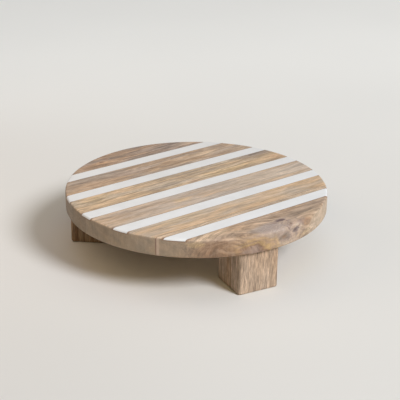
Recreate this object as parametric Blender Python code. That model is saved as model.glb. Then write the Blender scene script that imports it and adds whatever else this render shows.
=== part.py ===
"""A round wooden cake stand: six glued boards, five inlaid white stripes and three screwed block legs.

Metres, +Z up. The origin lies on the floor under the middle of the top, and the stripes run along X.
"""

import math

import bmesh
import bpy

# Round top
TOP_DIAMETER = 0.300
TOP_THICKNESS = 0.021
TOP_EDGE_RADIUS = 0.0025
UNDER_EDGE_RADIUS = 0.0016

# Inlaid stripes, evenly spaced about the middle of the top
STRIPE_COUNT = 5
STRIPE_WIDTH = 0.0170
STRIPE_PITCH = 0.0515
STRIPE_DEPTH = 0.0022

# Boards meet under the middle of each stripe, apart from the front seam, which lies behind its stripe
FRONT_SEAM_OFFSET = 0.0146

# Block legs, turned to face outwards, at bearings that were set by hand and aren't quite even
LEG_HEIGHT = 0.0487
LEG_WIDTH = 0.0480
LEG_DEPTH = 0.0475
LEG_INSET = 0.0060
LEG_CORNER_RADIUS = 0.0028
LEG_FOOT_RADIUS = 0.0015
LEG_BEARINGS_DEG = {"leg_front": -100.0, "leg_left": 135.5, "leg_right": 18.0}

# Two pan-head wood screws hold each leg, in counterbored holes along its depth
SCREW_SPACING = 0.0220
SCREW_DIAMETER = 0.0045
SCREW_POINT_LENGTH = 0.0060
SCREW_HEAD_DIAMETER = 0.0088
SCREW_HEAD_HEIGHT = 0.0030
SCREW_COVER = 0.0060
RECESS_LENGTH = 0.0050
RECESS_WIDTH = 0.0010
RECESS_DEPTH = 0.0016
COUNTERBORE_DIAMETER = 0.0105
COUNTERBORE_DEPTH = 0.0170

# Fits: a fine gap between pieces that touch, and room beyond the end of a screw
CLEARANCE = 0.0003
HOLE_END_ROOM = 0.0010

# Fineness of the round shapes
TOP_SEGMENTS = 144
HOLE_SEGMENTS = 20
EDGE_STEPS = 4
CORNER_STEPS = 4
SMOOTH_ANGLE = math.radians(35.0)
WELD_DISTANCE = 0.000001

# Worked out from the sizes above
TOP_RADIUS = TOP_DIAMETER / 2
UNDERSIDE_Z = LEG_HEIGHT + CLEARANCE
TOP_Z = UNDERSIDE_Z + TOP_THICKNESS
LEG_RADIUS = TOP_RADIUS - LEG_INSET - LEG_DEPTH / 2
SCREW_SEAT_Z = COUNTERBORE_DEPTH - CLEARANCE
SCREW_TIP_Z = TOP_Z - STRIPE_DEPTH - SCREW_COVER
OVERCUT = TOP_THICKNESS

# Colours and finish: linear colour, roughness and metallic value
BOARD_FINISHES = (
    ((0.43, 0.30, 0.21), 0.55, 0.0),
    ((0.53, 0.40, 0.28), 0.55, 0.0),
    ((0.51, 0.40, 0.30), 0.55, 0.0),
    ((0.49, 0.37, 0.26), 0.55, 0.0),
    ((0.41, 0.30, 0.22), 0.55, 0.0),
    ((0.36, 0.26, 0.20), 0.55, 0.0),
)
STRIPE_FINISH = ((0.80, 0.80, 0.79), 0.35, 0.0)
LEG_FINISH = ((0.50, 0.37, 0.27), 0.65, 0.0)
SCREW_FINISH = ((0.55, 0.54, 0.50), 0.35, 1.0)


def clear_scene():
    """Starts from an empty scene."""
    for old in list(bpy.data.objects):
        bpy.data.objects.remove(old, do_unlink=True)


def add_object(name, shape):
    """Turns a bmesh into an object of the scene."""
    bmesh.ops.recalc_face_normals(shape, faces=shape.faces)
    mesh = bpy.data.meshes.new(name)
    shape.to_mesh(mesh)
    shape.free()
    made = bpy.data.objects.new(name, mesh)
    bpy.context.scene.collection.objects.link(made)
    return made


def add_block(name, low, high):
    """A box between two opposite corners."""
    shape = bmesh.new()
    bmesh.ops.create_cube(shape, size=1.0)
    for vertex in shape.verts:
        vertex.co = [a + (b - a) * (share + 0.5) for a, b, share in zip(low, high, vertex.co)]
    return add_object(name, shape)


def add_turned(name, outline, segments):
    """A solid of revolution about Z, from (radius, height) points that start and end on the axis."""
    shape = bmesh.new()
    points = [shape.verts.new((radius, 0.0, height)) for radius, height in outline]
    edges = [shape.edges.new(pair) for pair in zip(points, points[1:])]
    bmesh.ops.spin(
        shape,
        geom=points + edges,
        cent=(0.0, 0.0, 0.0),
        axis=(0.0, 0.0, 1.0),
        angle=math.tau,
        steps=segments,
        use_merge=True,
    )
    bmesh.ops.remove_doubles(shape, verts=shape.verts, dist=WELD_DISTANCE)
    return add_object(name, shape)


def arc(centre, radius, start_deg, end_deg):
    """Points on a quarter or other part of a circle, both ends included."""
    points = []
    for step in range(EDGE_STEPS + 1):
        turn = math.radians(start_deg + (end_deg - start_deg) * step / EDGE_STEPS)
        points.append((centre[0] + radius * math.cos(turn), centre[1] + radius * math.sin(turn)))
    return points


def combine(target, tool, operation):
    """Applies one Boolean to an object's mesh."""
    modifier = target.modifiers.new(operation.lower(), "BOOLEAN")
    modifier.operation = operation
    modifier.solver = "EXACT"
    modifier.object = tool
    graph = bpy.context.evaluated_depsgraph_get()
    result = bpy.data.meshes.new_from_object(target.evaluated_get(graph))
    target.modifiers.remove(modifier)
    target.data = result
    result.name = target.name


def set_finish(target, finish):
    """Gives an object its own material."""
    colour, roughness, metallic = finish
    material = bpy.data.materials.new(target.name)
    material.use_nodes = True
    shader = material.node_tree.nodes["Principled BSDF"]
    shader.inputs["Base Color"].default_value = (*colour, 1.0)
    shader.inputs["Roughness"].default_value = roughness
    shader.inputs["Metallic"].default_value = metallic
    material.diffuse_color = (*colour, 1.0)
    target.data.materials.clear()
    target.data.materials.append(material)


def smooth(target):
    """Shades the round faces smooth and keeps the edges crisp."""
    target.data.shade_smooth()
    target.data.set_sharp_from_angle(angle=SMOOTH_ANGLE)


def stripe_centre(index):
    """Y of a stripe's middle, counted from the front."""
    return (index - (STRIPE_COUNT - 1) / 2) * STRIPE_PITCH


def seam_positions():
    """Y of each seam between two boards, from the front."""
    hidden_seams = [stripe_centre(index) for index in range(1, STRIPE_COUNT)]
    return [stripe_centre(0) + FRONT_SEAM_OFFSET] + hidden_seams


def add_disc_guide():
    """The whole round top with its eased rims, which shapes the boards and the stripes."""
    upper_centre = (TOP_RADIUS - TOP_EDGE_RADIUS, TOP_Z - TOP_EDGE_RADIUS)
    lower_centre = (TOP_RADIUS - UNDER_EDGE_RADIUS, UNDERSIDE_Z + UNDER_EDGE_RADIUS)
    outline = [(0.0, TOP_Z)]
    outline += arc(upper_centre, TOP_EDGE_RADIUS, 90.0, 0.0)
    outline += arc(lower_centre, UNDER_EDGE_RADIUS, 0.0, -90.0)
    outline += [(0.0, UNDERSIDE_Z)]
    return add_turned("disc_guide", outline, TOP_SEGMENTS)


def add_stripe_bar(name, index, side_gap, floor_gap):
    """A straight bar along a stripe, reaching past the rim and above the top."""
    half_width = STRIPE_WIDTH / 2 - side_gap
    middle = stripe_centre(index)
    low = (-TOP_RADIUS - OVERCUT, middle - half_width, TOP_Z - STRIPE_DEPTH + floor_gap)
    high = (TOP_RADIUS + OVERCUT, middle + half_width, TOP_Z + OVERCUT)
    return add_block(name, low, high)


def add_boards(disc_guide, cutters):
    """The boards of the top: slices of the disc between seams, with grooves and screw holes."""
    seams = seam_positions()
    fronts = [-TOP_RADIUS - OVERCUT] + [seam + CLEARANCE / 2 for seam in seams]
    backs = [seam - CLEARANCE / 2 for seam in seams] + [TOP_RADIUS + OVERCUT]
    for number, (front, back) in enumerate(zip(fronts, backs), start=1):
        low = (-TOP_RADIUS - OVERCUT, front, UNDERSIDE_Z - OVERCUT)
        high = (TOP_RADIUS + OVERCUT, back, TOP_Z + OVERCUT)
        board = add_block(f"top_board_{number}", low, high)
        combine(board, disc_guide, "INTERSECT")
        for cutter in cutters:
            combine(board, cutter, "DIFFERENCE")
        smooth(board)
        set_finish(board, BOARD_FINISHES[(number - 1) % len(BOARD_FINISHES)])


def add_inlays(disc_guide):
    """The white stripes, flush with the top and rounded over at the rim."""
    for index in range(STRIPE_COUNT):
        inlay = add_stripe_bar(f"stripe_inlay_{index + 1}", index, CLEARANCE, CLEARANCE)
        combine(inlay, disc_guide, "INTERSECT")
        smooth(inlay)
        set_finish(inlay, STRIPE_FINISH)


def add_leg_seat(name):
    """An empty on the floor under a leg, turned so that its X axis points outwards."""
    bearing = math.radians(LEG_BEARINGS_DEG[name])
    seat = bpy.data.objects.new(f"{name}_seat", None)
    seat.location = (LEG_RADIUS * math.cos(bearing), LEG_RADIUS * math.sin(bearing), 0.0)
    seat.rotation_euler = (0.0, 0.0, bearing)
    bpy.context.scene.collection.objects.link(seat)
    return seat


def screw_offsets():
    """Where the two screws stand along a leg's depth."""
    return {"outer": SCREW_SPACING / 2, "inner": -SCREW_SPACING / 2}


def add_hole_cutter(name, seat, offset):
    """The counterbored hole of one screw, through the leg and up into the top."""
    counterbore = COUNTERBORE_DIAMETER / 2
    bore = SCREW_DIAMETER / 2 + CLEARANCE
    hole_end = SCREW_TIP_Z + HOLE_END_ROOM
    outline = [(0.0, hole_end), (bore, hole_end)]
    outline += [(bore, COUNTERBORE_DEPTH), (counterbore, COUNTERBORE_DEPTH)]
    outline += [(counterbore, -OVERCUT), (0.0, -OVERCUT)]
    cutter = add_turned(name, outline, HOLE_SEGMENTS)
    cutter.parent = seat
    cutter.location = (offset, 0.0, 0.0)
    return cutter


def add_leg(name, seat, hole_cutters):
    """A block with eased corners and foot, standing under the top."""
    low = (-LEG_DEPTH / 2, -LEG_WIDTH / 2, 0.0)
    high = (LEG_DEPTH / 2, LEG_WIDTH / 2, LEG_HEIGHT)
    leg = add_block(name, low, high)
    ease_edges(leg, LEG_CORNER_RADIUS, lambda start, end: abs(start.z - end.z) > WELD_DISTANCE)
    ease_edges(leg, LEG_FOOT_RADIUS, lambda start, end: max(start.z, end.z) < WELD_DISTANCE)
    leg.parent = seat
    bpy.context.view_layer.update()
    for cutter in hole_cutters:
        combine(leg, cutter, "DIFFERENCE")
    smooth(leg)
    set_finish(leg, LEG_FINISH)


def ease_edges(target, radius, chosen):
    """Rounds the edges whose two end points pass the test."""
    shape = bmesh.new()
    shape.from_mesh(target.data)
    edges = [edge for edge in shape.edges if chosen(edge.verts[0].co, edge.verts[1].co)]
    bmesh.ops.bevel(
        shape,
        geom=edges,
        offset=radius,
        offset_type="OFFSET",
        segments=CORNER_STEPS,
        profile=0.5,
        affect="EDGES",
        clamp_overlap=True,
    )
    bmesh.ops.recalc_face_normals(shape, faces=shape.faces)
    shape.to_mesh(target.data)
    shape.free()


def add_screw(name, seat, offset):
    """A pan-head wood screw, head down, with a cross recess and a pointed end."""
    shank = SCREW_DIAMETER / 2
    head = SCREW_HEAD_DIAMETER / 2
    crown_z = SCREW_SEAT_Z - SCREW_HEAD_HEIGHT
    rim_z = SCREW_SEAT_Z - SCREW_HEAD_HEIGHT / 2
    outline = [(0.0, SCREW_TIP_Z), (shank, SCREW_TIP_Z - SCREW_POINT_LENGTH), (shank, SCREW_SEAT_Z)]
    outline += [(head, SCREW_SEAT_Z), (head, rim_z)]
    outline += [(RECESS_LENGTH / 2 + CLEARANCE, crown_z), (0.0, crown_z)]
    screw = add_turned(name, outline, HOLE_SEGMENTS)
    for along_x in (True, False):
        half_x = (RECESS_LENGTH if along_x else RECESS_WIDTH) / 2
        half_y = (RECESS_WIDTH if along_x else RECESS_LENGTH) / 2
        low = (-half_x, -half_y, crown_z - OVERCUT)
        high = (half_x, half_y, crown_z + RECESS_DEPTH)
        blade = add_block("recess_blade", low, high)
        combine(screw, blade, "DIFFERENCE")
        bpy.data.objects.remove(blade, do_unlink=True)
    screw.parent = seat
    screw.location = (offset, 0.0, 0.0)
    smooth(screw)
    set_finish(screw, SCREW_FINISH)


def build_stand():
    """Makes the whole stand, and leaves only its pieces and the empties under its legs."""
    clear_scene()
    disc_guide = add_disc_guide()
    grooves = [add_stripe_bar(f"groove_{index + 1}", index, 0.0, 0.0) for index in range(STRIPE_COUNT)]
    hole_cutters = []
    for name in LEG_BEARINGS_DEG:
        seat = add_leg_seat(name)
        holes = [
            add_hole_cutter(f"{name}_hole_{end}", seat, offset)
            for end, offset in screw_offsets().items()
        ]
        add_leg(name, seat, holes)
        for end, offset in screw_offsets().items():
            add_screw(f"{name}_screw_{end}", seat, offset)
        hole_cutters += holes
    bpy.context.view_layer.update()
    add_boards(disc_guide, grooves + hole_cutters)
    add_inlays(disc_guide)
    for guide in [disc_guide] + grooves + hole_cutters:
        bpy.data.objects.remove(guide, do_unlink=True)


build_stand()
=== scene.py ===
"""The looks of the round striped cake stand: fine meshes and procedural materials around its solids."""

import math

import bmesh
import bpy
from mathutils import Matrix, Vector, noise


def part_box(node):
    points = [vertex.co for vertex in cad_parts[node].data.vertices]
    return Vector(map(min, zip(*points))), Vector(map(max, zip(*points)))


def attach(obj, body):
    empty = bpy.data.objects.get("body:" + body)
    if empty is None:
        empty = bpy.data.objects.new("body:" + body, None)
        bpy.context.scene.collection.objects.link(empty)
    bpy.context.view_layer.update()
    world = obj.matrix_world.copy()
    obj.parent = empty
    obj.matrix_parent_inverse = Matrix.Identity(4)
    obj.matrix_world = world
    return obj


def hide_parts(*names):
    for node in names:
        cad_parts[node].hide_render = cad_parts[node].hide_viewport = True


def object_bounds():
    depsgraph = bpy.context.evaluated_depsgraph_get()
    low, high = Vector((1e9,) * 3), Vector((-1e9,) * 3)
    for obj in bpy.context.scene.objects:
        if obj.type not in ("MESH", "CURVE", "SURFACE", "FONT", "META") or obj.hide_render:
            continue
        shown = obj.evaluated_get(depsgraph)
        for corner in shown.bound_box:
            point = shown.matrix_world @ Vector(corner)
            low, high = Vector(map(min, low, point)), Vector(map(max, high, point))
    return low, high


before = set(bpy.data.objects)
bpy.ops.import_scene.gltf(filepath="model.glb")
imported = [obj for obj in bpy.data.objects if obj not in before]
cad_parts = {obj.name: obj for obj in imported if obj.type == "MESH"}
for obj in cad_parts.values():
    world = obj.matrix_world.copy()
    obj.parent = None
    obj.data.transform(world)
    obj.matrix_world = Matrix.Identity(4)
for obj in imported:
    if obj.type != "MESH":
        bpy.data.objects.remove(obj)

CAD_LOW, CAD_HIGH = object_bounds()

# Pieces. The boards and the stripes run from the front of the stand to its back
BOARDS = [f"top_board_{number}" for number in range(1, 7)]
STRIPES = [f"stripe_inlay_{number}" for number in range(1, 6)]
LEGS = ["leg_front", "leg_left", "leg_right"]

# Sizes read from the solids of model.glb, in metres
TOP_RADIUS = CAD_HIGH.y
TOP_Z = CAD_HIGH.z
UNDERSIDE_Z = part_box(BOARDS[0])[0].z
STRIPE_CENTRES = [(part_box(name)[0].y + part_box(name)[1].y) / 2 for name in STRIPES]
STRIPE_PITCH = STRIPE_CENTRES[1] - STRIPE_CENTRES[0]
STRIPE_FLOOR_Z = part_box(STRIPES[0])[0].z
STRIPE_HALF = (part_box(STRIPES[0])[1].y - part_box(STRIPES[0])[0].y) / 2
SEAMS = [(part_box(near)[1].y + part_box(far)[0].y) / 2 for near, far in zip(BOARDS, BOARDS[1:])]
LEG_TOP_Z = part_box(LEGS[0])[1].z

# Finish of the top: eased rims that waver a little, chips at the stripes' ends, and the fits around them
EDGE_RADIUS = 0.0022
SOFT_EDGE_RADIUS = 0.0042
SOFT_EDGE_BEARING = math.radians(-82.0)
SOFT_EDGE_SPREAD = math.radians(38.0)
SOFT_EDGE_CLOSENESS = 9.0
SOFT_EDGE_UNEVENNESS = 0.25
UNDER_EDGE_RADIUS = 0.0017
RIM_WAVER = 0.00035
RIM_WAVER_CLOSENESS = 4.0
CHIP_LENGTH = 0.0026
CHIP_WIDTH = 0.0013
CHIP_DEPTH = 0.0027
CHIP_SCALE = 0.75
CHIP_SCALE_SWING = 0.45
CHIP_CLOSENESS = 61.0
OPEN_SEAM_GAP = 0.00026
TIGHT_SEAM_GAP = 0.00004
STRIPE_SIDE_GAP = 0.00008
STRIPE_FLOOR_GAP = 0.00026
OVERCUT = 0.02

# Legs, as in the solids, with rounder edges and rough sawn sides. Closeness is along a side and up it
LEG_WIDTH = 0.0480
LEG_DEPTH = 0.0475
LEG_LOW = (-LEG_DEPTH / 2, -LEG_WIDTH / 2, 0.0)
LEG_HIGH = (LEG_DEPTH / 2, LEG_WIDTH / 2, LEG_TOP_Z)
LEG_ROUNDING = (0.0030, 0.0030, 0.0026)
LEG_SEED_STEP = 10.0
FURROW_DEPTH = 0.00032
WIDE_FURROW_CLOSENESS = (260.0, 38.0)
FINE_FURROW_CLOSENESS = (720.0, 90.0)
FINE_FURROW_SEED = 5.0
FURROW_SHARES = (0.50, 0.34, 0.16)

# Screw holes, as in the solids but a little shallower
SCREW_SPACING = 0.0220
SCREW_HOLE_RADIUS = 0.00255
SCREW_HOLE_COVER = 0.0085
COUNTERBORE_RADIUS = 0.00525
COUNTERBORE_DEPTH = 0.0170

# Fineness of the meshes
RIM_SEGMENTS = 360
RIM_ROWS = 6
EDGE_STEPS = 7
FLAT_RINGS = (TOP_RADIUS * 0.5, TOP_RADIUS * 0.85, TOP_RADIUS - SOFT_EDGE_RADIUS * 1.5)
HOLE_SEGMENTS = 48
LEG_GRID_STEP = 0.0011
LEG_EDGE_SHARES = (0.0, 0.08, 0.25, 0.5, 0.75, 1.0)
SMOOTH_ANGLE = math.radians(32.0)

# The heading from the front of the studio to its back. The camera looks along it
STUDIO_HEADING = math.radians(51.95)

# Camera: where it stands, how it tilts and its lens on a 36 mm sensor
CAMERA_PLACE = (-0.6996, -0.9007, 0.5301)
CAMERA_PITCH = math.radians(22.76)
CAMERA_ROLL = math.radians(0.67)
CAMERA_LENS_MM = 96.3
SENSOR_MM = 36.0

# Round soft lamps, as seen from the stand: bearing, elevation and width in degrees, distance in metres, the
# share of light that falls on the floor, and the colour. The surround adds a trace of light from everywhere
FAR_LAMP = 12.0
NEAR_LAMP = 0.72
LAMPS = {
    "key_lamp": (-78.0, 40.0, 20.0, FAR_LAMP, 0.605, (0.925, 0.944, 1.0)),
    "front_lamp": (-128.0, 38.0, 50.0, FAR_LAMP, 0.13, (1.0, 0.83, 0.47)),
    "right_lamp": (-38.0, 50.0, 50.0, FAR_LAMP, 0.09, (0.92, 1.0, 0.87)),
    "back_lamp": (52.0, 64.0, 50.0, FAR_LAMP, 0.11, (1.0, 0.98, 0.81)),
    "overhead_lamp": (-38.0, 89.0, 50.0, FAR_LAMP, 0.09, (0.2, 0.4, 1.0)),
    "left_lamp": (142.0, 46.0, 40.0, NEAR_LAMP, 0.138, (1.0, 0.77, 0.58)),
}
SURROUND_LIGHT = 0.01
SURROUND_COLOUR = (1.0, 0.86, 0.68)
BACKDROP_COLOUR = (0.76, 0.74, 0.71)

# Terms of the values below: closeness counts features in a metre along each axis, a swing is how far a
# pattern darkens and lightens a colour, a span is (from, to), and a fade is a span with its two results
NOISE_SPAN = (0.3, 0.7)
NOISE_MIDDLE = (0.5, 0.5, 0.5)

# Floor, with painted light and shade: fades in metres towards the back of the studio, or towards its right
FLOOR_SIZE = 14.0
FLOOR_COLOUR = (0.755, 0.740, 0.706)
FLOOR_CLOUD_CLOSENESS = (1.3, 1.3, 1.3)
FLOOR_CLOUD_SWING = (0.015, 0.015)
FLOOR_BACK_PAINTED_LIGHT = (0.0, 0.85, 1.0, 1.26)
FLOOR_FRONT_PAINTED_SHADE = (-4.5, -0.8, 0.70, 1.0)
FLOOR_SIDE_PAINTED_SHADE_AND_LIGHT = (-0.22, 0.22, 0.950, 1.058)
FLOOR_SIDE_REACH_FADE = (0.1, 0.6, 1.0, 0.0)

# Wood tones, as linear colours
TAN = (0.58, 0.43, 0.29)
PALE = (0.64, 0.52, 0.40)
GOLD = (0.60, 0.41, 0.20)
PINK = (0.57, 0.42, 0.33)
RUST = (0.42, 0.25, 0.14)
BROWN = (0.39, 0.265, 0.180)
UMBER = (0.27, 0.165, 0.105)
ASH = (0.48, 0.405, 0.355)
GREY_BROWN = (0.27, 0.21, 0.165)
PURPLE_GREY = (0.34, 0.265, 0.245)
KNOT = (0.13, 0.085, 0.080)
CHESTNUT = (0.32, 0.195, 0.120)
OCHRE = (0.50, 0.332, 0.160)
MAUVE = (0.37, 0.262, 0.205)
DUN = (0.44, 0.325, 0.235)
BEHIND_STRIPE = (0.585, 0.447, 0.319)
SEAM_STAIN = (0.20, 0.105, 0.075)
RIM_TAN = (0.410, 0.306, 0.216)
RIM_GREY = (0.305, 0.243, 0.181)

# Tints, which multiply a tone
WARM_TINT = (1.07, 1.005, 0.92)
COOL_TINT = (0.94, 0.99, 1.07)
PORE_TINT = (0.45, 0.40, 0.36)
RING_TINT = (0.64, 0.53, 0.41)
# The next two tints are painted shade on the stripes: darker towards the back, and on their upright ends
BACK_SHADE_TINT = (0.874, 0.860, 0.842)
STRIPE_END_SHADE_TINT = (0.930, 0.925, 0.915)

# Grain. A drift is a closeness and how far the grain wanders, in metres
SEED_SPREAD = (1.0, 0.37, 0.11)
BOARD_DRIFT = ((9.0, 26.0, 26.0), (0.0, 0.015, 0.015))
LEG_DRIFT = ((30.0, 60.0, 60.0), (0.0, 0.0028, 0.0028))
WARMTH_SPAN = (0.36, 0.64)
SHADE_OFFSET = (3.1, 1.7, 0.9)
SHADE_SWING = (0.19, 0.16)
STREAK_SWING = (0.30, 0.22)
STREAK_RELIEF = 1.5
FIBRE_SWING = (0.12, 0.10)
PORE_SPAN = (0.60, 0.70)
PORE_STRENGTH = 0.4
PORE_RELIEF = 0.8
RING_CLOSENESS = (150.0, 3.0, 5.0)
RING_FADE = (0.36, 0.56, 1.0, 0.0)
WOOD_ROUGHNESS = (0.66, 0.52)

# Patches, burls and eyes. Spans and fades run from the middle outwards, where 1 is on the radius, apart from
# a burl's tones, which follow its noise. The closeness of burls and eyes is in a radius
PATCH_DRIFT = ((40.0, 110.0, 110.0), (0.035, 0.012, 0.006))
PATCH_SPAN = (0.25, 1.25)
BURL_CLOSENESS = (1.5, 1.5, 1.5)
BURL_TONE_SPAN = (0.30, 0.70)
BURL_RAGGEDNESS = 0.8
BURL_SPAN = (0.85, 1.45)
EYE_CLOSENESS = 1.8
EYE_WANDER = 0.9
EYE_TONE_SPAN = (0.08, 0.92)
EYE_SPAN = (0.45, 1.05)
EYE_SWING = (0.32, 0.26)
EYE_PULL_FADE = (0.3, 1.8, 0.8, 0.0)

# Rim: the flatness that tells it from the faces, its marks and clouds, and the end grain at its ends
FLAT_SPAN = (0.35, 0.85)
RIM_MARK_CLOSENESS = (430.0, 1.0, 60.0)
RIM_MARK_RANGE = (0.83, 0.97)
RIM_CLOUD_CLOSENESS = (55.0, 1.0, 75.0)
RIM_CLOUD_LEAN = 0.7
RIM_CLOUD_SPAN = (0.34, 0.64)
LEFT_END_FADE = (0.52, 0.76, 0.0, 0.85)
RIGHT_END_FADE = (0.24, 0.52, 0.0, 0.75)
# Paler wood and painted light together: the end grain at the rim's right end is made lighter
RIGHT_END_PALE_AND_PAINTED_LIGHT = 1.63

# Wood beside the stripes and the open seam: a dark line along each stripe's edge, painted shade in the torn
# chips at its ends and the gap under them, a strip and a stain along the seam. Distances are in metres
EDGE_LINE_FADE = (0.0002, 0.0019, 0.62, 0.0)
EDGE_LINE_STREAK_FADE = (0.35, 0.65, 0.5, 1.0)
CHIP_SHADE_OUTWARD_FADE = (TOP_RADIUS - 0.0050, TOP_RADIUS - 0.0022, 0.0, 0.9)
CHIP_SHADE_SIDE_FADE = (0.0008, 0.0030, 1.0, 0.0)
CHIP_SHADE_HEIGHT_SPAN = (TOP_Z - 0.0036, TOP_Z - 0.0018)
GAP_SHADE_DOWN_FADE = (0.0004, 0.0014, 0.7, 0.0)
GAP_SHADE_SIDE_FADE = (-0.0006, 0.0004, 1.0, 0.0)
STRIP_NEAR_SPAN = (0.0, 0.0004)
STRIP_FAR_FADE = (0.0022, 0.0034, 1.0, 0.0)
STRIP_STRENGTH = 0.55
STAIN_FADE = (0.0001, 0.0007, 0.85, 0.0)
STAIN_RIM_FADE = (0.0, 1.0, 0.30, 1.0)

# White of the stripes
WHITE_TONES = ((0.767, 0.774, 0.778), (0.803, 0.811, 0.818), (0.824, 0.834, 0.847))
WHITE_STOPS = tuple(zip((0.32, 0.52, 0.70), WHITE_TONES))
WHITE_CLOUD_CLOSENESS = (35.0, 60.0, 60.0)
WHITE_ROUGHNESS = (0.48, 0.36)
WHITE_END_FADE = (0.35, 0.95, 1.0, 0.0)
SANDING_CLOSENESS = (120.0, 2400.0, 2400.0)
SANDING_SWING = (0.015, 0.012)
SANDING_RELIEF = 0.4
PINHOLE_CLOSENESS = (900.0, 900.0, 900.0)
PINHOLE_FADE = (0.76, 0.80, 0.0, 0.35)
PINHOLE_COLOUR = (0.45, 0.42, 0.38)

# Zinc of the screws
ZINC_TONES = ((0.42, 0.41, 0.38), (0.56, 0.55, 0.51), (0.63, 0.60, 0.52))
ZINC_STOPS = tuple(zip((0.30, 0.52, 0.72), ZINC_TONES))
ZINC_BLOOM_CLOSENESS = (420.0, 420.0, 420.0)
ZINC_SCRATCH_CLOSENESS = (3000.0, 3000.0, 260.0)
ZINC_ROUGHNESS = (0.28, 0.5)


class Figure:
    """How closely a wood's features lie, in a metre along the grain and across it."""

    def __init__(self, drift, shade, streak, fibre, pore):
        self.drift = drift
        self.shade = shade
        self.streak = streak
        self.fibre = fibre
        self.pore = pore


class Wood:
    """How a piece of wood looks: its tone, how its light and hue vary, its rim's lightness and its marks."""

    def __init__(self, tone, seed, contrast=1.0, hue=1.0, rim=1.0, patches=(), burls=(), eyes=()):
        self.tone = tone
        self.seed = seed
        self.contrast = contrast
        self.hue = hue
        self.rim = rim
        self.patches = patches
        self.burls = burls
        self.eyes = eyes


BOARD_FIGURE = Figure(
    drift=(10.0, 68.0), shade=(8.0, 135.0), streak=(32.0, 360.0), fibre=(110.0, 1150.0), pore=(36.0, 520.0)
)
LEG_FIGURE = Figure(
    drift=(20.0, 120.0), shade=(24.0, 260.0), streak=(72.0, 800.0), fibre=(110.0, 1500.0), pore=(72.0, 900.0)
)

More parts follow.
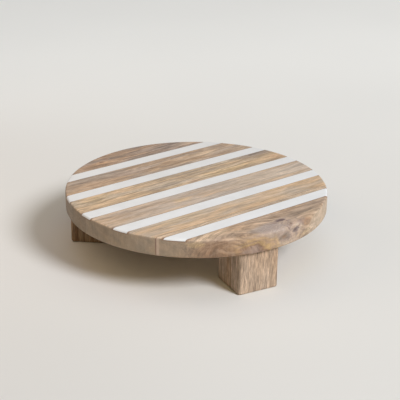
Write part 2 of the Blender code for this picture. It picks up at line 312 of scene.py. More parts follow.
# Patches are (centre, radii, tone, strength). Burls have several tones, marbled, in place of the one, and
# eyes, which are knots, have tones from the heart outwards
BOARD_LOOKS = {
    "top_board_1": Wood(
        tone=(0.500, 0.360, 0.252), seed=11.0, contrast=1.35,
        patches=(
            ((-0.070, -0.118, 0.070), (0.030, 0.009, 0.0060), TAN, 0.55),
            ((0.060, -0.122, 0.070), (0.065, 0.013, 0.0080), BROWN, 0.35),
            ((-0.078, -0.127, 0.0545), (0.055, 0.045, 0.0125), CHESTNUT, 0.95),
            ((-0.045, -0.141, 0.058), (0.065, 0.022, 0.0110), CHESTNUT, 0.70),
            ((0.062, -0.136, 0.060), (0.036, 0.016, 0.0130), PALE, 0.60),
            ((0.031, -0.146, 0.0555), (0.018, 0.010, 0.0050), GOLD, 0.55),
            ((-0.012, -0.137, 0.070), (0.026, 0.006, 0.0050), ASH, 0.70),
            ((0.004, -0.149, 0.062), (0.024, 0.014, 0.0110), ASH, 0.85),
            ((0.000, -0.150, 0.0525), (0.014, 0.010, 0.0040), PALE, 0.70),
            ((0.001, -0.150, 0.0615), (0.010, 0.012, 0.0040), PURPLE_GREY, 0.75),
            ((0.0228, -0.148, 0.0672), (0.010, 0.007, 0.0035), PALE, 0.60),
            ((0.000, -0.0885, 0.070), (0.300, 0.012, 0.0120), BEHIND_STRIPE, 0.95),
            ((-0.092, -0.118, 0.0645), (0.015, 0.012, 0.0040), GOLD, 0.65),
        ),
        burls=(
            (
                (0.0090, -0.1430, 0.0660), (0.034, 0.019, 0.0260),
                (KNOT, UMBER, PURPLE_GREY, DUN, PINK, DUN, PALE, ASH), 0.85,
            ),
            (
                (-0.0120, -0.1420, 0.0700), (0.026, 0.014, 0.0110),
                (PURPLE_GREY, ASH, PURPLE_GREY, ASH, PALE), 0.70,
            ),
            (
                (-0.0740, -0.1305, 0.0625), (0.020, 0.018, 0.0085),
                (KNOT, UMBER, CHESTNUT, UMBER, BROWN, CHESTNUT, PINK), 0.85,
            ),
        ),
        eyes=(
            (
                (-0.0355, -0.1450, 0.0505), (0.046, 0.046, 0.0220),
                (MAUVE, MAUVE, CHESTNUT, OCHRE, BROWN, OCHRE, DUN, OCHRE), 1.00,
            ),
            (
                (-0.0690, -0.1330, 0.0500), (0.028, 0.024, 0.0190),
                (CHESTNUT, UMBER, CHESTNUT, BROWN, UMBER, CHESTNUT, BROWN, CHESTNUT), 0.80,
            ),
            ((0.0187, -0.1488, 0.0635), (0.007, 0.006, 0.0040), (KNOT, PURPLE_GREY), 0.90),
            ((0.0340, -0.1455, 0.0695), (0.012, 0.005, 0.0060), (UMBER, PURPLE_GREY), 0.80),
            ((0.0400, -0.1445, 0.0660), (0.012, 0.008, 0.0070), (BROWN, RUST, DUN), 0.75),
            ((0.0012, -0.1500, 0.0606), (0.011, 0.010, 0.0062), (UMBER, GREY_BROWN, PURPLE_GREY), 0.90),
            ((0.0115, -0.1315, 0.0700), (0.009, 0.0042, 0.0120), (KNOT, KNOT, PURPLE_GREY), 1.00),
        ),
    ),
    "top_board_2": Wood(
        tone=(0.565, 0.430, 0.305), seed=23.0, contrast=0.88, hue=1.5,
        patches=(
            ((-0.070, -0.066, 0.070), (0.040, 0.009, 0.0120), GOLD, 0.35),
            ((0.030, -0.070, 0.070), (0.050, 0.012, 0.0120), PALE, 0.30),
        ),
    ),
    "top_board_3": Wood(
        tone=(0.553, 0.430, 0.325), seed=37.0, contrast=0.82, hue=1.4,
        patches=(
            ((-0.095, -0.020, 0.070), (0.060, 0.018, 0.0120), DUN, 0.45),
            ((-0.040, -0.026, 0.070), (0.014, 0.006, 0.0080), GOLD, 0.45),
            ((0.080, -0.024, 0.070), (0.080, 0.018, 0.0120), PALE, 0.50),
        ),
    ),
    "top_board_4": Wood(
        tone=(0.535, 0.408, 0.284), seed=41.0, contrast=1.35, hue=1.1, rim=0.70,
        patches=(
            ((-0.036, 0.018, 0.070), (0.030, 0.0045, 0.0080), GREY_BROWN, 0.60),
            ((0.126, 0.0385, 0.070), (0.046, 0.0075, 0.0120), GREY_BROWN, 0.95),
            ((0.060, 0.018, 0.070), (0.050, 0.007, 0.0100), GOLD, 0.55),
            ((-0.118, 0.032, 0.070), (0.030, 0.008, 0.0100), GOLD, 0.45),
            ((0.138, 0.018, 0.070), (0.014, 0.007, 0.0080), RUST, 0.55),
            ((0.009, 0.013, 0.070), (0.014, 0.005, 0.0080), BROWN, 0.70),
        ),
    ),
    "top_board_5": Wood(
        tone=(0.430, 0.317, 0.226), seed=59.0, contrast=1.25, hue=1.3, rim=0.66,
        patches=(
            ((0.071, 0.0785, 0.070), (0.026, 0.006, 0.0100), TAN, 0.70),
            ((-0.080, 0.074, 0.070), (0.060, 0.014, 0.0120), BROWN, 0.40),
            ((-0.035, 0.078, 0.070), (0.035, 0.008, 0.0100), PINK, 0.40),
            ((0.106, 0.089, 0.070), (0.022, 0.007, 0.0120), GREY_BROWN, 0.55),
            ((0.123, 0.067, 0.070), (0.022, 0.006, 0.0100), PALE, 0.35),
            ((-0.094, 0.086, 0.070), (0.012, 0.004, 0.0080), GREY_BROWN, 0.45),
        ),
    ),
    "top_board_6": Wood(
        tone=(0.354, 0.255, 0.186), seed=67.0, contrast=1.6, hue=1.2, rim=0.70,
        patches=(
            ((-0.056, 0.124, 0.070), (0.022, 0.007, 0.0100), RUST, 0.45),
            ((-0.004, 0.119, 0.070), (0.020, 0.005, 0.0100), GREY_BROWN, 0.45),
            ((0.078, 0.124, 0.070), (0.024, 0.008, 0.0100), TAN, 0.30),
        ),
        eyes=(
            ((-0.0380, 0.1330, 0.070), (0.006, 0.0034, 0.004), (KNOT, UMBER, RUST), 0.80),
            ((-0.0480, 0.1270, 0.070), (0.005, 0.0028, 0.004), (KNOT, UMBER, RUST), 0.75),
        ),
    ),
}
LEG_LOOKS = {
    "leg_front": Wood(tone=(0.52, 0.385, 0.280), seed=83.0, contrast=1.5, hue=0.25),
    # The left leg's darker tone is painted shade: it stands in the shadow under the top
    "leg_left": Wood(tone=(0.30, 0.200, 0.122), seed=97.0, contrast=1.5, hue=0.25),
    "leg_right": Wood(tone=(0.50, 0.370, 0.265), seed=71.0, contrast=1.5, hue=0.25),
}


# Meshes

def object_from(shape, name):
    """Turns a bmesh into an object of the scene."""
    bmesh.ops.recalc_face_normals(shape, faces=shape.faces)
    mesh = bpy.data.meshes.new(name)
    shape.to_mesh(mesh)
    shape.free()
    made = bpy.data.objects.new(name, mesh)
    bpy.context.scene.collection.objects.link(made)
    return made


def block(name, low, high):
    """A box between two opposite corners."""
    shape = bmesh.new()
    bmesh.ops.create_cube(shape, size=1.0)
    for vertex in shape.verts:
        vertex.co = [a + (b - a) * (share + 0.5) for a, b, share in zip(low, high, vertex.co)]
    return object_from(shape, name)


def cylinder(name, radius, low_z, high_z):
    """An upright cylinder on the Z axis."""
    shape = bmesh.new()
    bmesh.ops.create_cone(
        shape, cap_ends=True, segments=HOLE_SEGMENTS, radius1=radius, radius2=radius, depth=high_z - low_z
    )
    bmesh.ops.translate(shape, verts=shape.verts, vec=(0.0, 0.0, (low_z + high_z) / 2))
    return object_from(shape, name)


def combine(target, tools, operation):
    """Applies Booleans to an object's mesh, one tool after another."""
    for tool in tools:
        modifier = target.modifiers.new(operation.lower(), "BOOLEAN")
        modifier.operation = operation
        modifier.solver = "MANIFOLD"
        modifier.object = tool
    graph = bpy.context.evaluated_depsgraph_get()
    result = bpy.data.meshes.new_from_object(target.evaluated_get(graph))
    target.modifiers.clear()
    target.data = result


def remove(tools):
    """Deletes helper objects."""
    for tool in tools:
        bpy.data.objects.remove(tool, do_unlink=True)


def smooth(target):
    """Shades the round faces smooth and keeps the edges crisp."""
    target.data.shade_smooth()
    target.data.set_sharp_from_angle(angle=SMOOTH_ANGLE)


def dress(piece, node, material):
    """Puts a finished piece in the place of its CAD node."""
    piece.data.materials.clear()
    piece.data.materials.append(material)
    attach(piece, "root")
    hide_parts(node)


def edge_radius(bearing, place):
    """The radius of the top's upper edge at one bearing: it is softer, and uneven, round the front."""
    turn = (bearing - SOFT_EDGE_BEARING + math.pi) % math.tau - math.pi
    softness = math.exp(-((turn / SOFT_EDGE_SPREAD) ** 2))
    uneven = SOFT_EDGE_UNEVENNESS * noise.noise(place * SOFT_EDGE_CLOSENESS)
    softness = softness * (1.0 - SOFT_EDGE_UNEVENNESS + uneven)
    return EDGE_RADIUS + (SOFT_EDGE_RADIUS - EDGE_RADIUS) * softness


def arc(middle, middle_z, radius, start, end):
    """Points of (radius, height) along an arc of the top's outline."""
    turns = [start + (end - start) * step / EDGE_STEPS for step in range(EDGE_STEPS + 1)]
    return [(middle + radius * math.cos(turn), middle_z + radius * math.sin(turn)) for turn in turns]


def rim_outline(bearing):
    """The top's outline of (radius, height) points at one bearing, from the upper face round to the lower."""
    place = Vector((math.cos(bearing), math.sin(bearing), 0.0))
    rim = TOP_RADIUS - RIM_WAVER * (0.5 + 0.5 * noise.noise(place * RIM_WAVER_CLOSENESS))
    edge = edge_radius(bearing, place)
    high_z = TOP_Z - edge
    low_z = UNDERSIDE_Z + UNDER_EDGE_RADIUS
    outline = [(ring, TOP_Z) for ring in FLAT_RINGS]
    outline += arc(rim - edge, high_z, edge, math.pi / 2, 0.0)
    outline += [(rim, high_z + (low_z - high_z) * row / RIM_ROWS) for row in range(1, RIM_ROWS)]
    outline += arc(rim - UNDER_EDGE_RADIUS, low_z, UNDER_EDGE_RADIUS, 0.0, -math.pi / 2)
    outline += [(ring, UNDERSIDE_Z) for ring in reversed(FLAT_RINGS)]
    return outline


def whole_top():
    """The round top before it is divided: a turned disc with eased, slightly wavering rims."""
    shape = bmesh.new()
    spokes = []
    for index in range(RIM_SEGMENTS):
        bearing = math.tau * index / RIM_SEGMENTS
        x, y = math.cos(bearing), math.sin(bearing)
        spokes.append([shape.verts.new((r * x, r * y, z)) for r, z in rim_outline(bearing)])
    upper = shape.verts.new((0.0, 0.0, TOP_Z))
    lower = shape.verts.new((0.0, 0.0, UNDERSIDE_Z))
    for spoke, following in zip(spokes, spokes[1:] + spokes[:1]):
        shape.faces.new((upper, spoke[0], following[0]))
        shape.faces.new((lower, following[-1], spoke[-1]))
        for row in range(len(spoke) - 1):
            shape.faces.new((spoke[row], spoke[row + 1], following[row + 1], following[row]))
    return object_from(shape, "whole_top")


def stripe_bar(name, centre, half_width, floor_z):
    """A bar along one stripe that reaches past the rim and above the top."""
    low = (-TOP_RADIUS - OVERCUT, centre - half_width, floor_z)
    high = (TOP_RADIUS + OVERCUT, centre + half_width, TOP_Z + OVERCUT)
    return block(name, low, high)


def edge_chips():
    """Small blocks at the ends of each stripe's edges, where the router tore the rim."""
    chips = []
    for centre in STRIPE_CENTRES:
        for edge in (centre - STRIPE_HALF, centre + STRIPE_HALF):
            for side in (-1.0, 1.0):
                corner = Vector((side * math.sqrt(TOP_RADIUS**2 - edge**2), edge, TOP_Z))
                scale = CHIP_SCALE + CHIP_SCALE_SWING * noise.noise(corner * CHIP_CLOSENESS)
                half = Vector((CHIP_LENGTH, CHIP_WIDTH, CHIP_DEPTH)) * scale / 2
                chip = block("chip", -half, (half.x, half.y, OVERCUT))
                chip.location = corner - Vector((0.0, 0.0, half.z))
                chip.rotation_euler = (0.0, 0.0, math.atan2(corner.y, corner.x))
                chips.append(chip)
    bpy.context.view_layer.update()
    return chips


def leg_place(name):
    """Where a leg stands and which way it faces."""
    low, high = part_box(name)
    middle = (low + high) / 2
    bearing = math.atan2(middle.y, middle.x)
    return Matrix.Translation((middle.x, middle.y, 0.0)) @ Matrix.Rotation(bearing, 4, "Z")


def screw_hole_tools(place):
    """The two counterbored holes of one leg, standing at that leg's place."""
    tools = []
    for offset in (-SCREW_SPACING / 2, SCREW_SPACING / 2):
        spot = place @ Matrix.Translation((offset, 0.0, 0.0))
        bore = cylinder("bore", SCREW_HOLE_RADIUS, COUNTERBORE_DEPTH - OVERCUT, TOP_Z - SCREW_HOLE_COVER)
        mouth = cylinder("mouth", COUNTERBORE_RADIUS, -OVERCUT, COUNTERBORE_DEPTH)
        bore.matrix_world = spot
        mouth.matrix_world = spot
        tools += [bore, mouth]
    bpy.context.view_layer.update()
    return tools


def make_boards(disc, hole_tools):
    """The boards of the top, each its own slice of the disc."""
    grooves = [
        stripe_bar("groove", centre, STRIPE_HALF + STRIPE_SIDE_GAP, STRIPE_FLOOR_Z - STRIPE_FLOOR_GAP)
        for centre in STRIPE_CENTRES
    ]
    tools = grooves + edge_chips() + hole_tools
    gaps = [OPEN_SEAM_GAP] + [TIGHT_SEAM_GAP] * (len(SEAMS) - 1)
    fronts = [-TOP_RADIUS - OVERCUT] + [seam + gap / 2 for seam, gap in zip(SEAMS, gaps)]
    backs = [seam - gap / 2 for seam, gap in zip(SEAMS, gaps)] + [TOP_RADIUS + OVERCUT]
    for node, front, back in zip(BOARDS, fronts, backs):
        low = (-TOP_RADIUS - OVERCUT, front, UNDERSIDE_Z - OVERCUT)
        high = (TOP_RADIUS + OVERCUT, back, TOP_Z + OVERCUT)
        board = block(f"{node}_wood", low, high)
        combine(board, [disc], "INTERSECT")
        combine(board, tools, "DIFFERENCE")
        smooth(board)
        dress(board, node, board_material(node))
    remove(tools)


def make_stripes(disc):
    """The white stripes, flush with the top."""
    material = stripe_material()
    for node, centre in zip(STRIPES, STRIPE_CENTRES):
        stripe = stripe_bar(f"{node}_white", centre, STRIPE_HALF, STRIPE_FLOOR_Z)
        combine(stripe, [disc], "INTERSECT")
        smooth(stripe)
        dress(stripe, node, material)


def grid_steps(low, high, rounding):
    """Grid lines along one axis of a block, closer together where its edges are round."""
    inner_low, inner_high = low + rounding, high - rounding
    count = math.ceil((inner_high - inner_low) / LEG_GRID_STEP)
    middle = [inner_low + (inner_high - inner_low) * step / count for step in range(1, count)]
    first = [low + rounding * share for share in LEG_EDGE_SHARES]
    last = [high - rounding * share for share in reversed(LEG_EDGE_SHARES)]
    return first + middle + last


def grid_faces(lines):
    """Each small face on the surface of a block of grid lines, as the grid indices of its four corners."""
    for axis in range(3):
        first, second = [other for other in range(3) if other != axis]
        for end in (0, len(lines[axis]) - 1):
            for i in range(len(lines[first]) - 1):
                for j in range(len(lines[second]) - 1):
                    face = []
                    for a, b in ((i, j), (i + 1, j), (i + 1, j + 1), (i, j + 1)):
                        indices = [0, 0, 0]
                        indices[axis], indices[first], indices[second] = end, a, b
                        face.append(tuple(indices))
                    yield face


def rounded(point):
    """A point of the plain leg block, moved onto its round edges, and the way out from there."""
    low = Vector(LEG_LOW) + Vector(LEG_ROUNDING)
    high = Vector(LEG_HIGH) - Vector(LEG_ROUNDING)
    core = Vector([min(max(value, a), b) for value, a, b in zip(point, low, high)])
    out = Vector([(value - inner) / size for value, inner, size in zip(point, core, LEG_ROUNDING)])
    if out.length == 0.0:
        return point, Vector((0.0, 0.0, 0.0))
    out.normalize()
    return core + Vector([share * size for share, size in zip(out, LEG_ROUNDING)]), out


def furrow(point, out, seed):
    """How far the rough sawn side lies below the leg's true face at a point."""
    along = -out.y * point.x + out.x * point.y
    wide_along, wide_up = WIDE_FURROW_CLOSENESS
    fine_along, fine_up = FINE_FURROW_CLOSENESS
    wide = noise.noise(Vector((along * wide_along, point.z * wide_up, seed)))
    fine = noise.noise(Vector((along * fine_along, point.z * fine_up, seed + FINE_FURROW_SEED)))
    even_share, wide_share, fine_share = FURROW_SHARES
    sideways = math.hypot(out.x, out.y)
    return FURROW_DEPTH * sideways * (even_share + wide_share * wide + fine_share * fine)


def leg_point(point, seed):
    """Moves a point of the plain leg block onto the leg's round edges and rough sides."""
    point, out = rounded(point)
    sideways = Vector((out.x, out.y, 0.0))
    return point - sideways * furrow(point, out, seed)


def leg_block(name, seed):
    """A block leg with round edges and rough sawn sides, standing on the origin."""
    lines = [grid_steps(*sizes) for sizes in zip(LEG_LOW, LEG_HIGH, LEG_ROUNDING)]
    shape = bmesh.new()
    corners = {}
    for face in grid_faces(lines):
        for indices in face:
            if indices not in corners:
                point = Vector([line[index] for line, index in zip(lines, indices)])
                corners[indices] = shape.verts.new(leg_point(point, seed))
        shape.faces.new([corners[indices] for indices in face])
    return object_from(shape, name)


def make_legs(places):
    """The three block legs, with their screw holes."""
    tools = screw_hole_tools(Matrix.Identity(4))
    for number, (node, place) in enumerate(places.items()):
        leg = leg_block(f"{node}_wood", LEG_SEED_STEP * number)
        combine(leg, tools, "DIFFERENCE")
        smooth(leg)
        leg.matrix_world = place
        dress(leg, node, leg_material(node))
    remove(tools)


# Materials

class Shading:
    """Short ways to add nodes to one material. Most return the new node's output."""

    def __init__(self, name):
        self.material = bpy.data.materials.new(name)
        self.material.use_nodes = True
        self.tree = self.material.node_tree
        self.shader = self.tree.nodes["Principled BSDF"]

    def put(self, socket, value):
        """Links an output to a socket, or writes a plain value there."""
        if isinstance(value, bpy.types.NodeSocket):
            self.tree.links.new(value, socket)
        elif isinstance(value, tuple) and len(value) == 3 and socket.type == "RGBA":
            socket.default_value = (*value, 1.0)
        else:
            socket.default_value = value

    def place(self, kind="Object"):
        return self.tree.nodes.new("ShaderNodeTexCoord").outputs[kind]

    def split(self, vector):
        node = self.tree.nodes.new("ShaderNodeSeparateXYZ")
        self.put(node.inputs[0], vector)
        return node.outputs[0], node.outputs[1], node.outputs[2]

    def join(self, x, y, z):
        node = self.tree.nodes.new("ShaderNodeCombineXYZ")
        for socket, value in zip(node.inputs, (x, y, z)):
            self.put(socket, value)
        return node.outputs[0]

    def math(self, operation, first, second=0.0):
        node = self.tree.nodes.new("ShaderNodeMath")
        node.operation = operation
        self.put(node.inputs[0], first)
        self.put(node.inputs[1], second)
        return node.outputs[0]

    def product(self, first, *others):
        """Several values multiplied together."""
        for other in others:
            first = self.math("MULTIPLY", first, other)
        return first

    def vector(self, operation, first, second=(0.0, 0.0, 0.0)):
        node = self.tree.nodes.new("ShaderNodeVectorMath")
        node.operation = operation
        self.put(node.inputs[0], first)
        self.put(node.inputs[1], second)
        return node.outputs["Value"] if operation == "LENGTH" else node.outputs["Vector"]

    def offset(self, place, centre, radii):
        """Where a place lies from a centre, counted in radii."""
        return self.vector("DIVIDE", self.vector("SUBTRACT", place, centre), radii)

    def noise(self, vector, detail, roughness, distortion=0.0, output="Fac"):
        node = self.tree.nodes.new("ShaderNodeTexNoise")
        self.put(node.inputs["Vector"], vector)
        self.put(node.inputs["Scale"], 1.0)
        self.put(node.inputs["Detail"], detail)
        self.put(node.inputs["Roughness"], roughness)
        self.put(node.inputs["Distortion"], distortion)
        return node.outputs[output]

    def pattern(self, place, closeness, detail, roughness, distortion=0.0, output="Fac"):
        """Noise with features as close as said along each axis."""
        return self.noise(self.vector("MULTIPLY", place, closeness), detail, roughness, distortion, output)

    def grain_pattern(self, grain, closeness, detail, roughness, distortion=0.0):
        """Noise drawn out along the grain, with features as close as said along it and across it."""
        along, across = closeness
        return self.pattern(grain, (along, across, across), detail, roughness, distortion)

    def remap(self, value, low, high, to_low=0.0, to_high=1.0):
        node = self.tree.nodes.new("ShaderNodeMapRange")
        node.interpolation_type = "SMOOTHSTEP"
        for socket, setting in zip(node.inputs, (value, low, high, to_low, to_high)):
            self.put(socket, setting)
        return node.outputs[0]

    def flatness(self):
        """How far the surface faces up or down: 1 on the flat faces and 0 on the rim."""
        _, _, out_z = self.split(self.place("Normal"))
        return self.math("ABSOLUTE", out_z)

    def ramp(self, value, stops):
        node = self.tree.nodes.new("ShaderNodeValToRGB")
        elements = node.color_ramp.elements
        while len(elements) < len(stops):
            elements.new(1.0)
        for element, (position, colour) in zip(elements, stops):
            element.position = position
            element.color = (*colour, 1.0)
        self.put(node.inputs[0], value)
        return node.outputs[0]

    def tone_ramp(self, value, tones, span):
        """A ramp with its tones at equal steps over a span."""
        low, high = span
        step = (high - low) / (len(tones) - 1)
        return self.ramp(value, [(low + step * index, tone) for index, tone in enumerate(tones)])

    def mix(self, factor, first, second, blend="MIX"):
        node = self.tree.nodes.new("ShaderNodeMix")
        node.data_type = "RGBA"
        node.blend_type = blend
        self.put(node.inputs[0], factor)
        self.put(node.inputs[6], first)
        self.put(node.inputs[7], second)
        return node.outputs[2]

    def scale_colour(self, colour, amount):
        """Makes a colour darker or lighter by a factor, which may vary over the surface."""
        return self.mix(1.0, colour, self.join(amount, amount, amount), "MULTIPLY")

    def varied(self, colour, pattern, swing, contrast=1.0):
        """Darkens and lightens a colour after a pattern of noise."""
        darker, lighter = swing
        amount = self.remap(pattern, *NOISE_SPAN, 1.0 - darker * contrast, 1.0 + lighter * contrast)
        return self.scale_colour(colour, amount)

    def bump(self, height, strength, distance):
        """Gives the shader a relief that follows a height."""
        node = self.tree.nodes.new("ShaderNodeBump")
        self.put(node.inputs["Strength"], strength)
        self.put(node.inputs["Distance"], distance)
        self.put(node.inputs["Height"], height)
        self.put(self.shader.inputs["Normal"], node.outputs[0])

    def finish(self, settings):
        """Puts values into the shader's sockets by name, and returns the material."""
        for name, value in settings.items():
            self.put(self.shader.inputs[name], value)
        return self.material


def tinted(tone, tint, amount=1.0):
    """A colour multiplied by some amount of a tint."""
    return tuple(value * (1.0 + (share - 1.0) * amount) for value, share in zip(tone, tint))


def loosened(shading, place, closeness, reach, detail=3.0, roughness=0.6):
    """A place that wanders a little, which makes what is drawn from it ragged."""
    wander = shading.pattern(place, closeness, detail, roughness, output="Color")
    wander = shading.vector("SUBTRACT", wander, NOISE_MIDDLE)
    return shading.vector("ADD", place, shading.vector("MULTIPLY", wander, reach))


def drifting(shading, place, seed, drift):
    """Grain coordinates that drift slowly, far from those of any piece with another seed."""
    shifted = shading.vector("ADD", place, tuple(seed * share for share in SEED_SPREAD))
    return loosened(shading, shifted, *drift, detail=2.0, roughness=0.5)


def board_grain(shading, place, look):
    """Grain coordinates of a board: along X, drifting sideways and pushed aside by the eyes."""
    grain = drifting(shading, place, look.seed, BOARD_DRIFT)
    for centre, radii, _, _ in look.eyes:
        away = shading.vector("SUBTRACT", place, centre)
        reach = shading.vector("LENGTH", shading.vector("DIVIDE", away, radii))
        pull = shading.remap(reach, *EYE_PULL_FADE)
        push = shading.vector("MULTIPLY", away, shading.join(0.0, pull, pull))
        grain = shading.vector("SUBTRACT", grain, push)
    return grain


def leg_grain(shading, place, look):
    """Grain coordinates of a leg: the grain stands upright, and wavers."""
    x, y, z = shading.split(place)
    return drifting(shading, shading.join(z, x, y), look.seed, LEG_DRIFT)


def wood_material(name, look, figure, grain_of, marked):
    """Sealed wood: drifting warm and cool tones, patches, streaks, fibres and pores, and what marked adds."""
    shading = Shading(name)
    place = shading.place()
    grain = grain_of(shading, place, look)

    drift = shading.grain_pattern(grain, figure.drift, detail=3.0, roughness=0.55)
    moved = shading.vector("ADD", grain, SHADE_OFFSET)
    shade = shading.grain_pattern(moved, figure.shade, detail=4.0, roughness=0.6)
    streak = shading.grain_pattern(grain, figure.streak, detail=5.0, roughness=0.68, distortion=0.5)
    fibre = shading.grain_pattern(grain, figure.fibre, detail=2.0, roughness=0.6)
    pores = shading.grain_pattern(grain, figure.pore, detail=3.0, roughness=0.6)
    pores = shading.remap(pores, *PORE_SPAN)

    cool = tinted(look.tone, COOL_TINT, look.hue)
    warm = tinted(look.tone, WARM_TINT, look.hue)
    colour = shading.mix(shading.remap(drift, *WARMTH_SPAN), cool, warm)
    colour = patched(shading, colour, place, look)
    for pattern, swing in ((shade, SHADE_SWING), (streak, STREAK_SWING), (fibre, FIBRE_SWING)):
        colour = shading.varied(colour, pattern, swing, look.contrast)
    pore_share = shading.product(pores, PORE_STRENGTH)
    colour = shading.mix(pore_share, colour, tinted(look.tone, PORE_TINT))
    colour = marked(shading, colour, place, look, streak)

    relief = shading.math("ADD", fibre, shading.product(streak, STREAK_RELIEF))
    relief = shading.math("SUBTRACT", relief, shading.product(pores, PORE_RELIEF))
    shading.bump(relief, strength=0.35, distance=0.0005)
    roughness = shading.remap(streak, *NOISE_SPAN, *WOOD_ROUGHNESS)
    return shading.finish({"Base Color": colour, "Roughness": roughness, "Specular IOR Level": 0.35})


def board_material(node):
    """The wood of one board of the top."""
    return wood_material(f"{node}_wood", BOARD_LOOKS[node], BOARD_FIGURE, board_grain, board_marked)


def leg_material(node):
    """The wood of one leg."""
    return wood_material(f"{node}_wood", LEG_LOOKS[node], LEG_FIGURE, leg_grain, ringed)


def patched(shading, colour, place, look):
    """Adds the wood's large soft patches of another tone."""
    if not look.patches:
        return colour
    loose = loosened(shading, place, *PATCH_DRIFT)
    for centre, radii, tone, strength in look.patches:
        reach = shading.vector("LENGTH", shading.offset(loose, centre, radii))
        colour = shading.mix(shading.remap(reach, *PATCH_SPAN, strength, 0.0), colour, tone)
    return colour


def board_marked(shading, colour, place, look, streak):
    """Adds what only the boards have."""
    colour = burled(shading, colour, place, look)
    colour = eyed(shading, colour, place, look, streak)
    colour = rim_marked(shading, colour, place, look)
    colour = stripe_edged(shading, colour, place, streak)
    return seam_marked(shading, colour, place)


def burled(shading, colour, place, look):
    """Adds the burls: areas where the grain turns every way and several tones run through each other."""
    for centre, radii, tones, strength in look.burls:
        away = shading.offset(place, centre, radii)
        swirl = shading.pattern(away, BURL_CLOSENESS, detail=4.0, roughness=0.62, distortion=2.4)
        ragged = shading.product(swirl, BURL_RAGGEDNESS)
        ragged = shading.math("ADD", shading.vector("LENGTH", away), ragged)
        share = shading.remap(ragged, *BURL_SPAN, strength, 0.0)
        colour = shading.mix(share, colour, shading.tone_ramp(swirl, tones, BURL_TONE_SPAN))
    return colour


def eyed(shading, colour, place, look, streak):
    """Adds the eyes: ragged rings of several tones round a heart."""
    for centre, radii, tones, strength in look.eyes:
        closeness = tuple(EYE_CLOSENESS / radius for radius in radii)
        wander = tuple(EYE_WANDER * radius for radius in radii)
        loose = loosened(shading, place, closeness, wander)
        reach = shading.vector("LENGTH", shading.offset(loose, centre, radii))
        rings = shading.tone_ramp(reach, tones, EYE_TONE_SPAN)
        rings = shading.varied(rings, streak, EYE_SWING)
        colour = shading.mix(shading.remap(reach, *EYE_SPAN, strength, 0.0), colour, rings)
    return colour


def rim_marked(shading, colour, place, look):
    """Adds upright sanding marks and dull cloudy end grain to the rim, partly painted light at its right end.
    """
    x, y, z = shading.split(place)
    out_x, _, _ = shading.split(shading.place("Normal"))
    around = shading.product(shading.math("ARCTAN2", y, x), TOP_RADIUS)
    marks = shading.pattern(shading.join(around, 0.0, z), RIM_MARK_CLOSENESS, detail=4.0, roughness=0.65)
    leaning = shading.math("ADD", around, shading.product(z, RIM_CLOUD_LEAN))
    cloud = shading.pattern(shading.join(leaning, 0.0, z), RIM_CLOUD_CLOSENESS, detail=4.0, roughness=0.6)
    dull = shading.mix(shading.remap(cloud, *RIM_CLOUD_SPAN), RIM_GREY, RIM_TAN)
    dull = shading.scale_colour(dull, look.rim)
    left_end = shading.remap(shading.product(out_x, -1.0), *LEFT_END_FADE)
    right_end = shading.remap(out_x, *RIGHT_END_FADE)
    marked = shading.mix(left_end, colour, dull)
    # The right end is lighter: partly paler wood, partly painted light
    marked = shading.mix(right_end, marked, shading.scale_colour(dull, RIGHT_END_PALE_AND_PAINTED_LIGHT))
    marked = shading.scale_colour(marked, shading.remap(marks, *NOISE_SPAN, *RIM_MARK_RANGE))
    on_rim = shading.remap(shading.flatness(), *FLAT_SPAN, 1.0, 0.0)
    return shading.mix(on_rim, colour, marked)


def from_stripe(shading, y):
    """How far a place lies outside the edge of the nearest stripe. Inside the stripe it is negative."""
    steps = shading.math("DIVIDE", shading.math("SUBTRACT", y, STRIPE_CENTRES[0]), STRIPE_PITCH)
    nearest = shading.math("MAXIMUM", shading.math("ROUND", steps), 0.0)
    nearest = shading.math("MINIMUM", nearest, len(STRIPES) - 1.0)
    from_centre = shading.math("ABSOLUTE", shading.math("SUBTRACT", steps, nearest))
    return shading.math("SUBTRACT", shading.product(from_centre, STRIPE_PITCH), STRIPE_HALF)


def stripe_edged(shading, colour, place, streak):
    """Darkens wood by the stripes: a line on their edges, painted shade in the chips and gap at their ends.
    """
    x, y, z = shading.split(place)
    from_edge = from_stripe(shading, y)
    on_top = shading.remap(shading.flatness(), *FLAT_SPAN)
    line = shading.product(
        on_top, shading.remap(from_edge, *EDGE_LINE_FADE), shading.remap(streak, *EDGE_LINE_STREAK_FADE)
    )
    colour = shading.mix(line, colour, GREY_BROWN)
    outward = shading.vector("LENGTH", shading.join(x, y, 0.0))
    # Painted shade in the torn chips at the stripes' ends
    torn_chip_shade = shading.product(
        shading.remap(outward, *CHIP_SHADE_OUTWARD_FADE),
        shading.remap(from_edge, *CHIP_SHADE_SIDE_FADE),
        shading.remap(z, *CHIP_SHADE_HEIGHT_SPAN),
    )
    colour = shading.mix(torn_chip_shade, colour, UMBER)
    # Painted shade in the gap under the stripes' ends
    below = shading.math("SUBTRACT", STRIPE_FLOOR_Z, z)
    gap = shading.product(shading.remap(below, *GAP_SHADE_DOWN_FADE), shading.remap(from_edge, *GAP_SHADE_SIDE_FADE))
    return shading.mix(gap, colour, UMBER)


def seam_marked(shading, colour, place):
    """Marks the open seam: on the rim a pale strip before it and a dark stain, which is faint on top."""
    _, y, _ = shading.split(place)
    on_rim = shading.remap(shading.flatness(), *FLAT_SPAN, 1.0, 0.0)
    before_seam = shading.math("SUBTRACT", SEAMS[0], y)
    strip = shading.product(
        shading.remap(before_seam, *STRIP_NEAR_SPAN), shading.remap(before_seam, *STRIP_FAR_FADE), on_rim
    )
    colour = shading.mix(shading.product(strip, STRIP_STRENGTH), colour, PINK)
    from_seam = shading.math("ABSOLUTE", before_seam)
    stain = shading.product(shading.remap(from_seam, *STAIN_FADE), shading.remap(on_rim, *STAIN_RIM_FADE))
    return shading.mix(stain, colour, SEAM_STAIN)


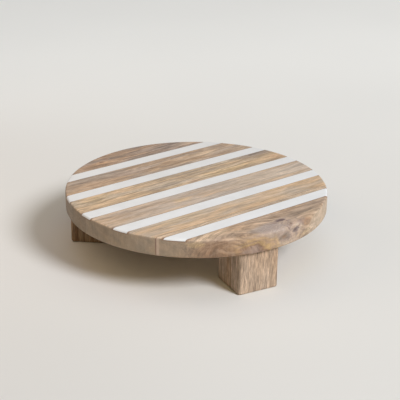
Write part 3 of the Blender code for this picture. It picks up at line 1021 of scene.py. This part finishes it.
def ringed(shading, colour, place, look, _):
    """Darkens a leg's growth rings: upright bands on two sides, broad faint ones on the other two."""
    spot = shading.vector("MULTIPLY", place, RING_CLOSENESS)
    spot = shading.vector("ADD", spot, (look.seed, 0.0, 0.0))
    dark = shading.remap(shading.noise(spot, detail=2.0, roughness=0.5), *RING_FADE)
    return shading.mix(dark, colour, RING_TINT, "MULTIPLY")


def stripe_material():
    """Satin white inlay: faint clouds, sanding lines, a few pinholes, painted shade at its ends and back."""
    shading = Shading("stripe_white")
    place = shading.place()
    cloud = shading.pattern(place, WHITE_CLOUD_CLOSENESS, detail=4.0, roughness=0.6)
    lines = shading.pattern(place, SANDING_CLOSENESS, detail=2.0, roughness=0.6)
    holes = shading.pattern(place, PINHOLE_CLOSENESS, detail=1.0, roughness=0.5)
    colour = shading.varied(shading.ramp(cloud, WHITE_STOPS), lines, SANDING_SWING)
    # Painted shade: the white darkens towards the back of the stand
    _, y, _ = shading.split(place)
    back_shade = shading.remap(y, -TOP_RADIUS, TOP_RADIUS)
    colour = shading.mix(back_shade, colour, BACK_SHADE_TINT, "MULTIPLY")
    # Painted shade on the stripes' upright ends
    at_end = shading.remap(shading.flatness(), *WHITE_END_FADE)
    colour = shading.mix(at_end, colour, STRIPE_END_SHADE_TINT, "MULTIPLY")
    pinholes = shading.remap(holes, *PINHOLE_FADE)
    colour = shading.mix(pinholes, colour, PINHOLE_COLOUR)
    relief = shading.math("SUBTRACT", shading.product(lines, SANDING_RELIEF), pinholes)
    shading.bump(relief, strength=0.15, distance=0.0003)
    roughness = shading.remap(cloud, *NOISE_SPAN, *WHITE_ROUGHNESS)
    return shading.finish({"Base Color": colour, "Roughness": roughness, "Specular IOR Level": 0.4})


def screw_material():
    """Zinc plate with a faint bloom and fine scratches."""
    shading = Shading("screw_zinc")
    place = shading.place()
    bloom = shading.pattern(place, ZINC_BLOOM_CLOSENESS, detail=4.0, roughness=0.6)
    scratch = shading.pattern(place, ZINC_SCRATCH_CLOSENESS, detail=3.0, roughness=0.6)
    shading.bump(scratch, strength=0.12, distance=0.0002)
    roughness = shading.remap(scratch, *NOISE_SPAN, *ZINC_ROUGHNESS)
    colour = shading.ramp(bloom, ZINC_STOPS)
    return shading.finish({"Base Color": colour, "Metallic": 1.0, "Roughness": roughness})


def floor_material():
    """A pale floor, a little cloudy, painted lighter behind the stand and to its right, darker far in front.
    """
    shading = Shading("floor_pale")
    place = shading.place()
    cloud = shading.pattern(place, FLOOR_CLOUD_CLOSENESS, detail=2.0, roughness=0.5)
    colour = shading.varied(FLOOR_COLOUR, cloud, FLOOR_CLOUD_SWING)
    x, y, _ = shading.split(place)
    ahead, aside = math.cos(STUDIO_HEADING), math.sin(STUDIO_HEADING)
    behind = shading.math("ADD", shading.product(x, ahead), shading.product(y, aside))
    beside = shading.math("SUBTRACT", shading.product(x, aside), shading.product(y, ahead))
    # Painted light and shade: lighter towards the back of the studio, darker far in front
    colour = shading.scale_colour(colour, shading.remap(behind, *FLOOR_BACK_PAINTED_LIGHT))
    colour = shading.scale_colour(colour, shading.remap(behind, *FLOOR_FRONT_PAINTED_SHADE))
    # Painted shade and light: darker to the left of the stand, lighter to its right
    beside = shading.product(beside, shading.remap(behind, *FLOOR_SIDE_REACH_FADE))
    colour = shading.scale_colour(colour, shading.remap(beside, *FLOOR_SIDE_PAINTED_SHADE_AND_LIGHT))
    return shading.finish({"Base Color": colour, "Roughness": 0.9, "Specular IOR Level": 0.2})


# Stage

def make_floor():
    """The surface that the stand rests on."""
    shape = bmesh.new()
    bmesh.ops.create_grid(shape, x_segments=1, y_segments=1, size=FLOOR_SIZE / 2)
    floor = object_from(shape, "floor")
    floor.data.materials.append(floor_material())


def make_surround():
    """Even soft light from all round, with a pale backdrop where it is seen directly or mirrored."""
    world = bpy.data.worlds.new("surround")
    world.use_nodes = True
    nodes, links = world.node_tree.nodes, world.node_tree.links
    light = nodes["Background"]
    light.inputs["Color"].default_value = (*SURROUND_COLOUR, 1.0)
    light.inputs["Strength"].default_value = SURROUND_LIGHT
    backdrop = nodes.new("ShaderNodeBackground")
    backdrop.inputs["Color"].default_value = (*BACKDROP_COLOUR, 1.0)
    path = nodes.new("ShaderNodeLightPath")
    seen = path.outputs["Is Camera Ray"]
    for kind in ("Is Glossy Ray", "Is Transmission Ray"):
        either = nodes.new("ShaderNodeMath")
        either.operation = "MAXIMUM"
        links.new(seen, either.inputs[0])
        links.new(path.outputs[kind], either.inputs[1])
        seen = either.outputs[0]
    choice = nodes.new("ShaderNodeMixShader")
    links.new(seen, choice.inputs[0])
    links.new(light.outputs[0], choice.inputs[1])
    links.new(backdrop.outputs[0], choice.inputs[2])
    links.new(choice.outputs[0], nodes["World Output"].inputs["Surface"])
    bpy.context.scene.world = world


def make_lamps():
    """The soft lamps all round. A share of 1 would show a white floor as white."""
    for name, (bearing_deg, elevation_deg, width_deg, distance, share, colour) in LAMPS.items():
        bearing, elevation = math.radians(bearing_deg), math.radians(elevation_deg)
        level = math.cos(elevation)
        towards = Vector((level * math.cos(bearing), level * math.sin(bearing), math.sin(elevation)))
        lamp = bpy.data.lights.new(name, "AREA")
        lamp.shape = "DISK"
        lamp.size = 2 * distance * math.tan(math.radians(width_deg) / 2)
        lamp.energy = share * (math.pi * distance) ** 2 / math.sin(elevation)
        lamp.color = colour
        holder = bpy.data.objects.new(name, lamp)
        holder.location = towards * distance
        holder.rotation_euler = (-towards).to_track_quat("-Z", "Y").to_euler()
        holder.visible_camera = False
        bpy.context.scene.collection.objects.link(holder)


def make_camera():
    """The camera at the photograph's place and angle."""
    lens = bpy.data.cameras.new("camera")
    lens.lens = CAMERA_LENS_MM
    lens.sensor_width = SENSOR_MM
    camera = bpy.data.objects.new("camera", lens)
    turn = Matrix.Rotation(STUDIO_HEADING - math.pi / 2, 4, "Z")
    tilt = Matrix.Rotation(math.pi / 2 - CAMERA_PITCH, 4, "X")
    roll = Matrix.Rotation(CAMERA_ROLL, 4, "Z")
    camera.matrix_world = Matrix.Translation(CAMERA_PLACE) @ turn @ tilt @ roll
    bpy.context.scene.collection.objects.link(camera)
    bpy.context.scene.camera = camera


def dress_screws():
    """Gives the hidden screws, which keep their solids, a plated finish."""
    material = screw_material()
    for name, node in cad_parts.items():
        if "_screw_" in name:
            node.data.materials.clear()
            node.data.materials.append(material)


def build():
    """Makes the whole picture around the solids of model.glb."""
    bpy.context.scene.view_settings.view_transform = "Standard"
    make_camera()
    make_lamps()
    make_surround()
    make_floor()
    places = {name: leg_place(name) for name in LEGS}
    hole_tools = [tool for place in places.values() for tool in screw_hole_tools(place)]
    disc = whole_top()
    make_boards(disc, hole_tools)
    make_stripes(disc)
    remove([disc])
    make_legs(places)
    dress_screws()


build()
